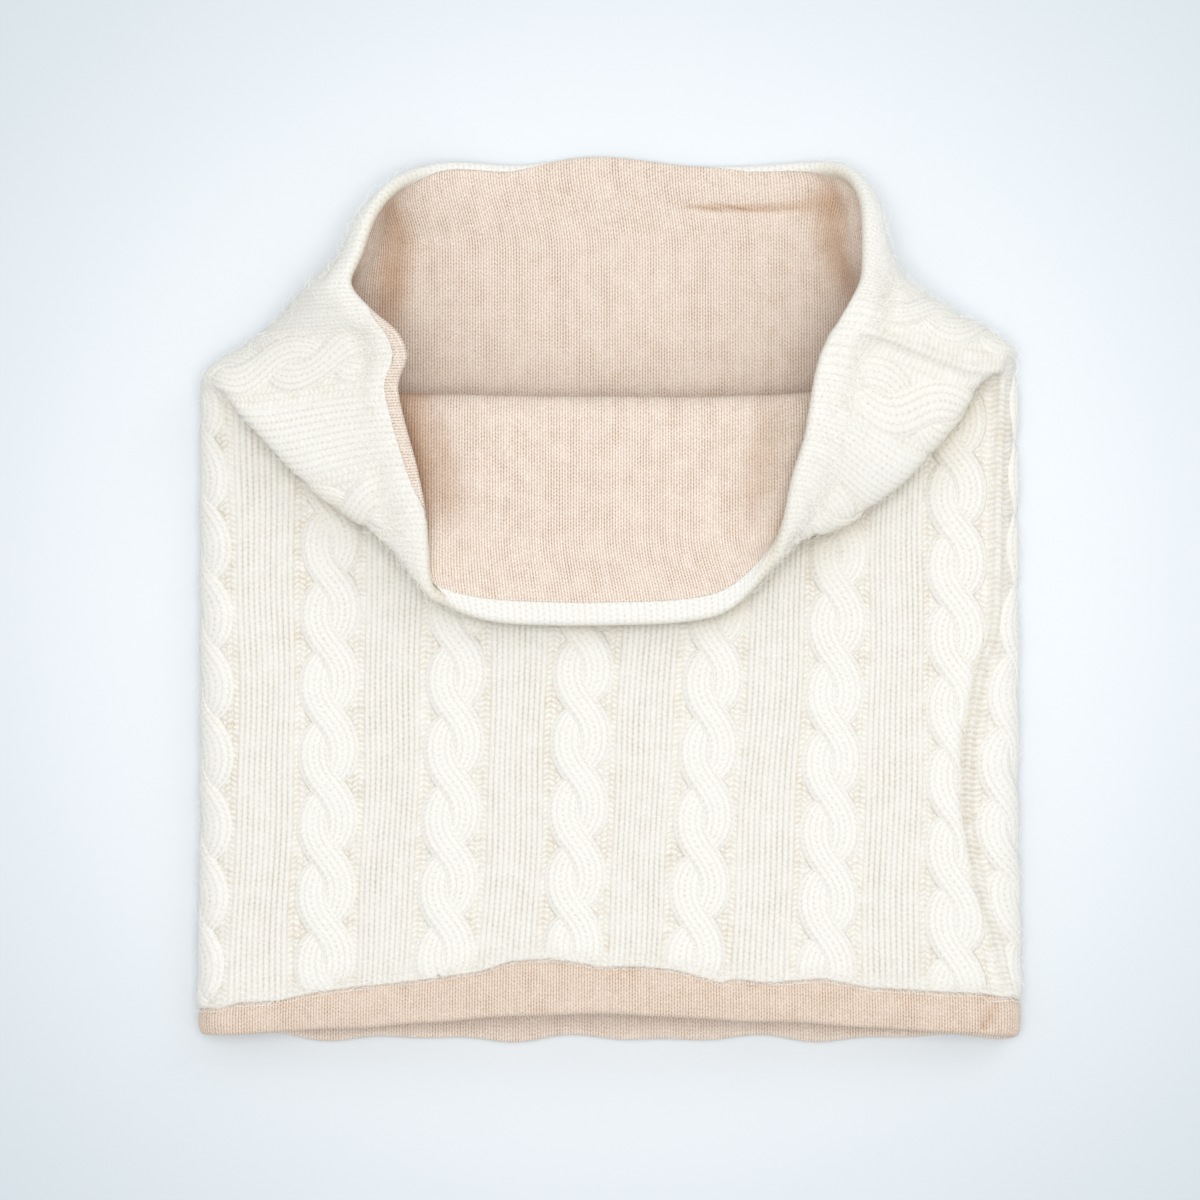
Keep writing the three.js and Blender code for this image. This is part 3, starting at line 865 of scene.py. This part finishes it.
def makeLining():
    columns = knit["liningWales"]
    edgeRows, wallRows, hemRows, bandRows, hiddenCount = liningRows.values()
    around = (np.arange(columns) / columns - 0.5) * tube["circumference"]
    band, join = bandTop(around), rimJoin(around)
    outside, inside, turn = knit["creamThickness"], knit["turnedCream"], knit["rimTurn"]
    quarter = (outside + inside) / 2 * math.pi / 2

    # over the rim's edge, down inside the tube, round the hem, up the band, and up between the knits
    edgeEnd = np.maximum(quarter, join + 3)
    over = mix(join, edgeEnd, np.linspace(0, 1, edgeRows)[:, None])
    overPast, overHigh = overEdge(over, outside, inside, turn)
    overHigh = overHigh + 0.1 * (over > quarter)
    start = clothLength + overPast[-1]
    down = mix(start, 2.0, np.linspace(0, 1, wallRows + 1)[1:, None])
    downHigh = -mix(inside - 0.1, knit["liningThickness"], ease((start - down) / 12))
    radius = (knit["liningThickness"] + knit["turnedLining"]) / 2
    hemStart = radius - knit["hemTurn"]
    angle = np.linspace(-math.pi / 2, math.pi / 2, hemRows)[:, None]
    hem = hemStart - radius * np.cos(angle) + np.zeros_like(around)
    hemHigh = (knit["turnedLining"] - knit["liningThickness"]) / 2 + radius * np.sin(angle) + np.zeros_like(around)
    up = mix(np.full_like(band, 1.6), band + 0.9, np.linspace(0, 1, bandRows)[:, None])
    seam = np.exp(-(((around - knit["bandSeam"] - 0.35 * up) / 1.2) ** 2)) * ease((band - 1.5 - up) / 2)
    upHigh = knit["turnedLining"] + 0.5 * np.sin(math.pi * np.clip(up / band, 0, 1))
    upHigh -= 1.0 * ease((up - band + 1.2) / 2) + 0.8 * seam
    hidden = mix(clothLength + overPast[0] - 0.3, band + 1.2, hiddenRows(hiddenCount)[::-1, None])
    hiddenHigh = np.full_like(hidden, -0.2)
    hiddenHigh[0] = 0.6
    hiddenHigh[-1] = 0.5 * np.sign(-join)
    along = np.concatenate([clothLength + overPast, down, hem, up, hidden])
    outwards = np.concatenate([overHigh, downHigh, hemHigh, upHigh, hiddenHigh])

    # the knit's own length, from the rim down, round the hem and up the band
    hemLength = np.broadcast_to(hemStart - (angle + math.pi / 2) * radius, hem.shape)
    bandLength = 2 * hemStart - math.pi * radius - up
    knitLength = np.concatenate([start + edgeEnd - over, down, hemLength, bandLength, hidden])
    wales = around / tube["circumference"] * knit["liningWales"]
    stitches = np.stack([np.broadcast_to(wales, along.shape), knitLength / knit["liningCourse"]], -1)
    where = around[None, :] + np.zeros_like(along)
    points = onCloth(where, along, outwards)
    inWall = slice(0, edgeRows + wallRows)
    # painted shade, from how deep the lining lies in the folds
    paintedShade = depthAt(where, along, 0)
    turned = ease((over + quarter) / (2 * quarter))
    paintedShade[:edgeRows] = mix(depthAt(where, along, 1)[:edgeRows], paintedShade[:edgeRows], turned)
    paintedShade[inWall] *= mix(0.3, 1, ease((along[inWall] - 12) / 15))  # less painted shade by the hem
    paintedShade[inWall] *= mix(1, 0.3, ease((np.abs(around) - 185) / 20))  # and less on the back
    # painted shade at least 0.3, with the shade strokes added
    paintedShade[inWall] = (np.maximum(paintedShade, 0.3) + strokes(shades, where, along))[inWall]
    paintedShade[edgeRows + wallRows :] = mix(0.51, 0.38, ease((np.abs(around) - side) / 10))  # a fixed painted shade on the hem and band, more on the front
    bandStart = edgeRows + wallRows + hemRows
    # painted shade along the seam's groove in the band
    paintedShade[bandStart : bandStart + bandRows] += 0.12 * seam
    return makeWall("liningTube", points[::-1], stitches[::-1], columns, {"paintedShade": paintedShade[::-1]})


lining = makeLining()
print("stage: lining made", len(lining.data.polygons))

# Loose ends of the brushed wool, standing off the cloth as a thin bloom
bloom = {
    "wallFibres": 24000,
    "rimFibres": 7000,
    "hemFibres": 2400,
    "length": (3.5, 8.0),
    "stand": (0.8, 3.8),  # how far the tips stand off the knit
    "root": 2.4,
    "width": 0.11,  # thicker than real wool, so that it shows
    "bend": 1.6,
    "pastCrease": 22,  # how far past the side creases they go
    "backShare": 0.15,  # of the fibres, on the back wall, which lies on the floor
    "joints": 5,
    "rimReach": 14,  # the denser bloom near the rim
    "colour": "#fdfcf8",
    "seed": 7,
}


def makeBloom(name, count, seed, alongRange, rootHeight):
    random = np.random.default_rng(seed)
    joints = bloom["joints"]
    around = random.uniform(-1, 1, count) * (side + bloom["pastCrease"])
    onBack = random.uniform(0, 1, count) < bloom["backShare"]
    around = np.where(onBack, random.uniform(side, 3 * side, count), around)
    along = random.uniform(*alongRange, count)
    along = np.maximum(along, bandTop(around) + 0.5)
    heading = random.uniform(0, 2 * math.pi, count)
    bend = random.uniform(-bloom["bend"], bloom["bend"], count)
    length = random.uniform(*bloom["length"], count)
    stand = random.uniform(*bloom["stand"], count) * random.uniform(0.4, 1, count)
    t = np.linspace(0, 1, joints)[:, None]
    direction = heading + bend * t
    step = length / (joints - 1)
    acrossCloth = around + np.cumsum(np.cos(direction) * step, axis=0)
    alongCloth = np.maximum(along + np.cumsum(np.sin(direction) * step, axis=0), bandTop(acrossCloth) - 1.3)
    high = rootHeight + stand * np.sin(t * math.pi * 0.6) ** 0.8
    spine = onCloth(acrossCloth, np.minimum(alongCloth, clothLength + 1.2), high)
    spine = spine.transpose(1, 0, 2)
    tangent = np.gradient(spine, axis=1)
    sideways = np.cross(tangent, random.normal(size=(count, 1, 3)))
    sideways /= np.linalg.norm(sideways, axis=-1, keepdims=True) + 1e-9
    half = bloom["width"] / 2 * (1.15 - np.linspace(0, 1, joints))[None, :, None]
    edges = np.stack([spine - sideways * half, spine + sideways * half], axis=2)
    edges[..., 2] = np.maximum(edges[..., 2], 0.1)
    index = np.arange(count * joints * 2).reshape(count, joints, 2)
    quads = np.stack([index[:, :-1, 0], index[:, :-1, 1], index[:, 1:, 1], index[:, 1:, 0]], -1).reshape(-1, 4)
    return makePiece(name, edges, quads.tolist())


wallBloom = makeBloom("wallBloom", bloom["wallFibres"], bloom["seed"], (8, clothLength - 2), bloom["root"])
nearRim = (clothLength - bloom["rimReach"], clothLength + 1)
rimBloom = makeBloom("rimBloom", bloom["rimFibres"], bloom["seed"] + 1, nearRim, bloom["root"] - 0.3)
hemBloom = makeBloom("hemBloom", bloom["hemFibres"], bloom["seed"] + 2, (4, 8), bloom["root"] - 0.3)
print("stage: bloom made", sum(len(piece.data.polygons) for piece in (wallBloom, rimBloom, hemBloom)))

# Brushed wool yarn: matt, soft-edged stitches with warm shade between them
yarns = {
    "cream": {
        "name": "brushedCreamWool",
        "light": "#f3f2ed",
        # shade and purlShade: painted shade in the gaps between stitches, on the plain and the purl side
        "shade": "#c9bea8",
        "purlShade": "#d3c7ae",
        "foldShade": "#f3efe5",  # painted shade: what the folds' depth takes out of the colour
        "foldFrom": (0.2, 0.85),  # from which depth it sets in, and from which it is full
        "lineDepth": 0.65,  # how deep the lines between the legs stay between two stitches, and so how dark their painted shade
        "gapStrength": 0.8,  # how much of the shade shows in the gaps
        "hairCover": 0.6,  # how far brushed-up hair covers the gaps
        "askew": 0.6,  # how far each leg's stitches lie from its neighbours', in courses
        "streaks": (0.75, 1.15),  # some wales gape more than others
        "bumpDepth": 0.3,
        "heather": 0.05,  # how dark the flecks are
        "sheen": 0.25,
    },
    "blush": {
        "name": "fineBlushWool",
        "light": "#fbf0e5",
        # shade and purlShade: painted shade in the gaps between stitches
        "shade": "#bf9c7b",
        "purlShade": "#d9bda6",
        # painted shade deep in the folds, warm
        "foldShade": "#cdac8b",
        "foldFrom": (0.38, 0.88),
        "lineDepth": 0.6,
        "gapStrength": 1.0,
        "hairCover": 0,
        "askew": 0.12,
        "streaks": (0.78, 1.2),
        "bumpDepth": 0.3,
        "heather": 0.17,
        "sheen": 0.2,
    },
}
# How large the wool's irregularities are: strayed stitches, fluff, patches of fuzz and flecks
fleece = {"stray": 3.3333, "fluff": 0.9091, "fuzz": 6.25, "fleck": 0.7692}


def perMetre(size):
    return 1 / (size * millimetre)


def yarnMaterial(yarn):
    material, tree = newMaterial(yarn["name"])
    stitchMap = addNode(tree, "ShaderNodeUVMap", uv_map="stitches")
    place = addNode(tree, "ShaderNodeSeparateXYZ", {0: stitchMap})
    objectPlace = addNode(tree, "ShaderNodeTexCoord").outputs["Object"]
    strayScale = perMetre(fleece["stray"])
    stray = addNode(tree, "ShaderNodeTexNoise", {"Vector": objectPlace, "Scale": strayScale, "Detail": 1.0})

    # on the plain side each wale has two legs, and each leg its own stitches, a little askew
    legNumber = addNode(tree, "ShaderNodeMath", {0: place.outputs[0], 1: 2.0}, operation="MULTIPLY")
    legWhole = addNode(tree, "ShaderNodeMath", {0: legNumber}, operation="FLOOR")
    legOffset = addNode(tree, "ShaderNodeTexWhiteNoise", {"W": legWhole}, noise_dimensions="1D")
    askewCourse = addNode(
        tree, "ShaderNodeMath", {0: legOffset, 1: yarn["askew"], 2: place.outputs[1]}, operation="MULTIPLY_ADD"
    )
    strayCourse = addNode(
        tree, "ShaderNodeMath", {0: stray.outputs[0], 1: 0.7, 2: askewCourse}, operation="MULTIPLY_ADD"
    )
    wale = addNode(tree, "ShaderNodeMath", {0: place.outputs[0]}, operation="FRACT")
    doubled = addNode(tree, "ShaderNodeMath", {0: wale, 1: 2.0, 2: -1.0}, operation="MULTIPLY_ADD")
    fromMiddle = addNode(tree, "ShaderNodeMath", {0: doubled}, operation="ABSOLUTE")
    lean = addNode(tree, "ShaderNodeMath", {0: fromMiddle, 1: -0.5, 2: strayCourse}, operation="MULTIPLY_ADD")
    course = addNode(tree, "ShaderNodeMath", {0: lean}, operation="FRACT")
    courseAngle = addNode(tree, "ShaderNodeMath", {0: course, 1: math.pi}, operation="MULTIPLY")
    courseWave = addNode(tree, "ShaderNodeMath", {0: courseAngle}, operation="SINE")
    courseHill = addNode(tree, "ShaderNodeMath", {0: courseWave, 1: 0.6}, operation="POWER")
    legAngle = addNode(tree, "ShaderNodeMath", {0: wale, 1: 2 * math.pi}, operation="MULTIPLY")
    legWave = addNode(tree, "ShaderNodeMath", {0: legAngle}, operation="SINE")
    legRound = addNode(tree, "ShaderNodeMath", {0: legWave}, operation="ABSOLUTE")
    legHill = addNode(tree, "ShaderNodeMath", {0: legRound, 1: 0.7}, operation="POWER")
    dip = addNode(tree, "ShaderNodeMath", {0: 1.0, 1: courseHill}, operation="SUBTRACT")
    hairy = addNode(tree, "ShaderNodeAttribute", attribute_name="hairy").outputs["Fac"]
    lineDepth = addNode(
        tree,
        "ShaderNodeMath",
        {0: hairy, 1: -0.75 * yarn["lineDepth"], 2: yarn["lineDepth"]},
        operation="MULTIPLY_ADD",
    )
    depth = addNode(tree, "ShaderNodeMix", {0: dip, 2: lineDepth, 3: 1.0})
    between = addNode(tree, "ShaderNodeMath", {0: 1.0, 1: legHill}, operation="SUBTRACT")
    hollow = addNode(tree, "ShaderNodeMath", {0: between, 1: depth.outputs[0]}, operation="MULTIPLY")
    notch = addNode(tree, "ShaderNodeMath", {0: dip, 1: 0.14, 2: hollow}, operation="MULTIPLY_ADD")

    # on the purl side the stitches are short bars that lean to and fro
    barLean = addNode(tree, "ShaderNodeMath", {0: fromMiddle, 1: 0.35, 2: strayCourse}, operation="MULTIPLY_ADD")
    bars = addNode(tree, "ShaderNodeMath", {0: barLean, 1: 2 * math.pi}, operation="MULTIPLY")
    barWave = addNode(tree, "ShaderNodeMath", {0: bars}, operation="SINE")
    patchy = addNode(
        tree,
        "ShaderNodeMapRange",
        {"Value": stray.outputs[0], "From Min": 0.3, "From Max": 0.7, "To Min": 0.12, "To Max": 0.45},
    )
    barPart = addNode(tree, "ShaderNodeMath", {0: barWave, 1: 0.27, 2: patchy}, operation="MULTIPLY_ADD")
    barHollow = addNode(
        tree, "ShaderNodeMath", {0: between, 1: 0.3, 2: barPart}, operation="MULTIPLY_ADD", use_clamp=True
    )
    purl = addNode(tree, "ShaderNodeAttribute", attribute_name="purl").outputs["Fac"]
    hollows = addNode(tree, "ShaderNodeMix", {0: purl, 2: notch, 3: barHollow})

    fluff = addNode(
        tree,
        "ShaderNodeTexNoise",
        {"Vector": objectPlace, "Scale": perMetre(fleece["fluff"]), "Detail": 3.0, "Roughness": 0.6},
    )
    height = addNode(
        tree, "ShaderNodeMath", {0: hollows.outputs[0], 1: -1.0, 2: fluff.outputs[0]}, operation="MULTIPLY_ADD"
    )

    # how much painted shade shows in the gaps: brushed-up fuzz covers them in patches, and some wales gape more
    # than others
    fuzzScale = perMetre(fleece["fuzz"])
    fuzz = addNode(tree, "ShaderNodeTexNoise", {"Vector": objectPlace, "Scale": fuzzScale, "Detail": 2.0})
    gap = yarn["gapStrength"]
    covered = addNode(
        tree,
        "ShaderNodeMapRange",
        {"Value": fuzz.outputs[0], "From Min": 0.35, "From Max": 0.65, "To Min": 0.55 * gap, "To Max": gap},
    )
    drawnOut = addNode(tree, "ShaderNodeVectorMath", {0: stitchMap, 1: (1.0, 0.04, 1.0)}, operation="MULTIPLY")
    waleNoise = addNode(tree, "ShaderNodeTexNoise", {"Vector": drawnOut, "Scale": 0.8, "Detail": 1.0})
    least, most = yarn["streaks"]
    streak = addNode(
        tree,
        "ShaderNodeMapRange",
        {"Value": waleNoise.outputs[0], "From Min": 0.35, "From Max": 0.65, "To Min": least, "To Max": most},
    )
    gaping = addNode(tree, "ShaderNodeMath", {0: covered, 1: streak}, operation="MULTIPLY")
    bare = addNode(tree, "ShaderNodeMath", {0: hairy, 1: -yarn["hairCover"], 2: 1.0}, operation="MULTIPLY_ADD")
    seen = addNode(tree, "ShaderNodeMath", {0: gaping, 1: bare}, operation="MULTIPLY")
    shade = addNode(tree, "ShaderNodeMath", {0: hollows.outputs[0], 1: seen}, operation="MULTIPLY", use_clamp=True)

    # pale wool, with warm painted shade in the gaps, flecked, and with painted shade deep in the folds
    shadeColour = addNode(
        tree,
        "ShaderNodeMix",
        {0: purl, 6: colour(yarn["shade"]), 7: colour(yarn["purlShade"])},
        data_type="RGBA",
    )
    tint = addNode(
        tree,
        "ShaderNodeMix",
        {0: shade, 6: colour(yarn["light"]), 7: shadeColour.outputs[2]},
        data_type="RGBA",
    )
    fleckScale = perMetre(fleece["fleck"])
    fleck = addNode(tree, "ShaderNodeTexNoise", {"Vector": objectPlace, "Scale": fleckScale, "Detail": 2.0})
    fleckValue = addNode(
        tree,
        "ShaderNodeMapRange",
        {"Value": fleck.outputs[0], "From Min": 0.3, "From Max": 0.7, "To Min": 1 - yarn["heather"], "To Max": 1.0},
    )
    paintedShade = addNode(tree, "ShaderNodeAttribute", attribute_name="paintedShade").outputs["Fac"]
    low, high = yarn["foldFrom"]
    foldShare = addNode(
        tree,
        "ShaderNodeMapRange",
        {"Value": paintedShade, "From Min": low, "From Max": high},
        interpolation_type="SMOOTHSTEP",
    )
    folded = addNode(
        tree,
        "ShaderNodeMix",
        {0: foldShare, 6: (1, 1, 1, 1), 7: colour(yarn["foldShade"])},
        data_type="RGBA",
    )
    inFold = addNode(tree, "ShaderNodeVectorMath", {0: tint.outputs[2], 1: folded.outputs[2]}, operation="MULTIPLY")
    heathered = addNode(tree, "ShaderNodeVectorMath", {0: inFold, "Scale": fleckValue}, operation="SCALE")
    bumpDepth = yarn["bumpDepth"] * millimetre
    bump = addNode(tree, "ShaderNodeBump", {"Height": height, "Strength": 0.7, "Distance": bumpDepth})
    shader = addNode(
        tree,
        "ShaderNodeBsdfPrincipled",
        {
            "Base Color": heathered,
            "Normal": bump,
            "Roughness": 0.9,
            "Specular IOR Level": 0.1,
            "Sheen Weight": yarn["sheen"],
            "Sheen Roughness": 0.5,
        },
    )
    addNode(tree, "ShaderNodeOutputMaterial", {"Surface": shader})
    return material


def fibreMaterial():
    material, tree = newMaterial("looseWoolEnds")  # single pale fibres, nearly lost against the knit
    shader = addNode(
        tree,
        "ShaderNodeBsdfPrincipled",
        {"Base Color": colour(bloom["colour"]), "Roughness": 0.8, "Specular IOR Level": 0.2},
    )
    addNode(tree, "ShaderNodeOutputMaterial", {"Surface": shader})
    return material


creamWool = yarnMaterial(yarns["cream"])
blushWool = yarnMaterial(yarns["blush"])
looseWool = fibreMaterial()
for piece, material, node, slot in (
    (outerKnit, creamWool, "outer_cable_tube", "cream_cable_knit"),
    (cableBraids, creamWool, "outer_cable_tube", "cream_cable_knit"),
    (wallBloom, looseWool, "outer_cable_tube", "cream_cable_knit"),
    (rimBloom, looseWool, "outer_cable_tube", "cream_cable_knit"),
    (hemBloom, looseWool, "outer_cable_tube", "cream_cable_knit"),
    (lining, blushWool, "lining_tube", "blush_plain_knit"),
):
    piece.data.materials.append(material)
    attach(piece, "root")
    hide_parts(node)
